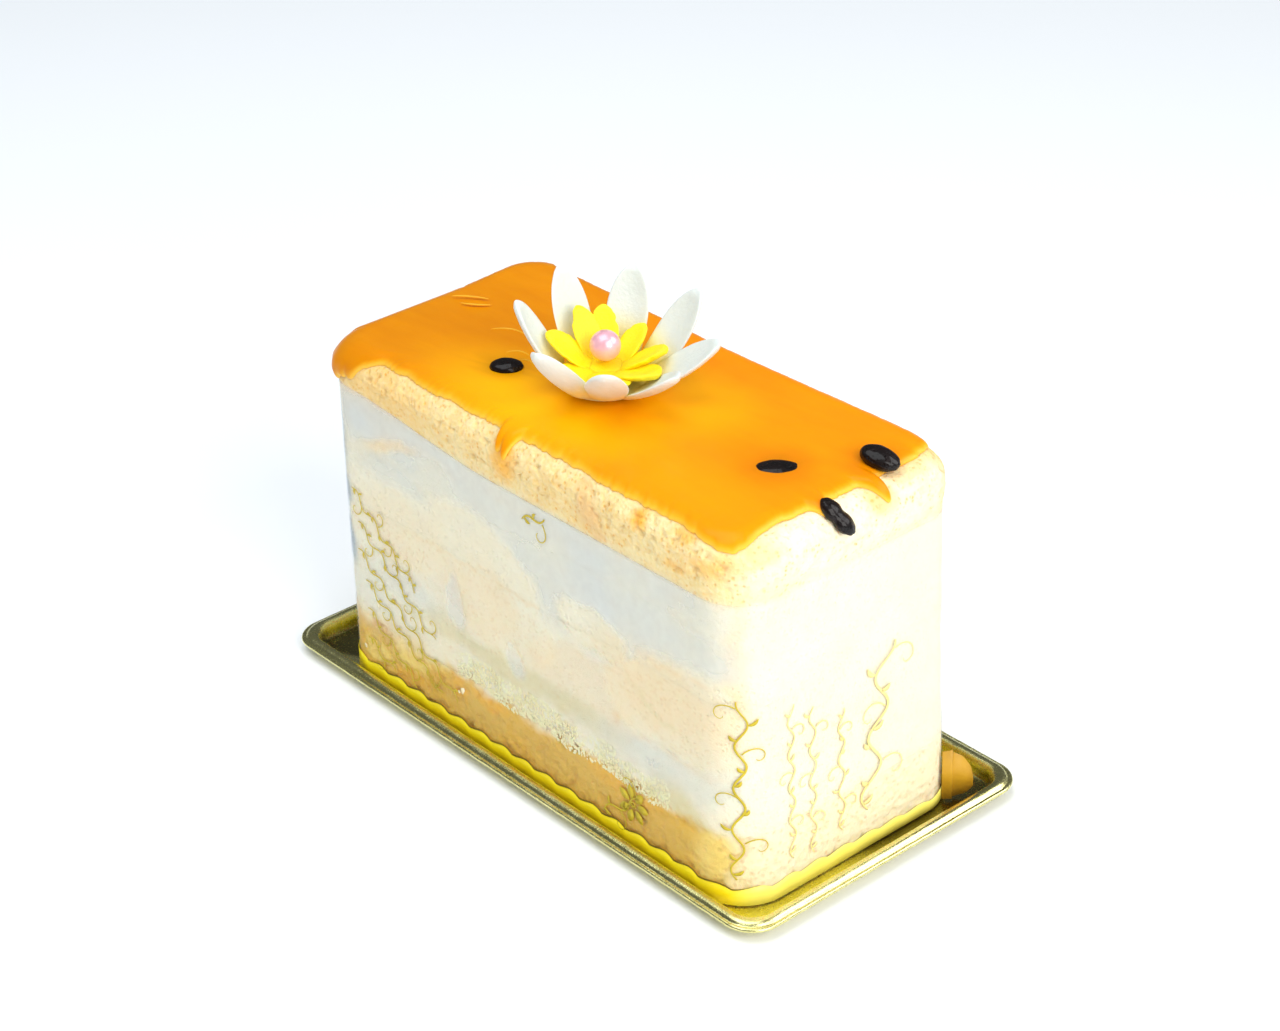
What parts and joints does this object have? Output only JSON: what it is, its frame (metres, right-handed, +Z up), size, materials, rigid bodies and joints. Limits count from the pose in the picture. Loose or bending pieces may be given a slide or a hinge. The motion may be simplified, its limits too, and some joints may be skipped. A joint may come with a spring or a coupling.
{
  "type": "mousse cake",
  "caption": "Rectangular single-portion layered mousse cake with jelly glaze, sugar flower and pearl, in a clear film collar on its own shallow gold tray.",
  "frame": {"origin": "middle of the bounding box at the tray's flat underside", "axes": "+X along the cake's length with the front right corner towards it, -Y out of the long printed front side, +Z up"},
  "size_m": [0.1086, 0.0552, 0.0737],
  "materials": {
    "gold_foil": "satin metallised card",
    "clear_film": "clear glossy acetate with gold print",
    "sponge": "open moist crumb",
    "mousse": "matt, finely porous",
    "glaze": "wet glossy jelly with black seeds",
    "sugar_white": "smooth silky sugar paste",
    "sugar_yellow": "smooth sugar paste with torn edges",
    "pearl_pink": "pearly sheen"
  },
  "bodies": {
    "root": {"tray": "gold_foil", "film_collar": "clear_film", "sponge_base": "sponge", "mousse_lower": "mousse", "sponge_middle": "sponge", "mousse_upper": "mousse", "glaze": "glaze", "flower_outer": "sugar_white", "flower_inner": "sugar_yellow", "pearl": "pearl_pink"}
  },
  "joints": []
}
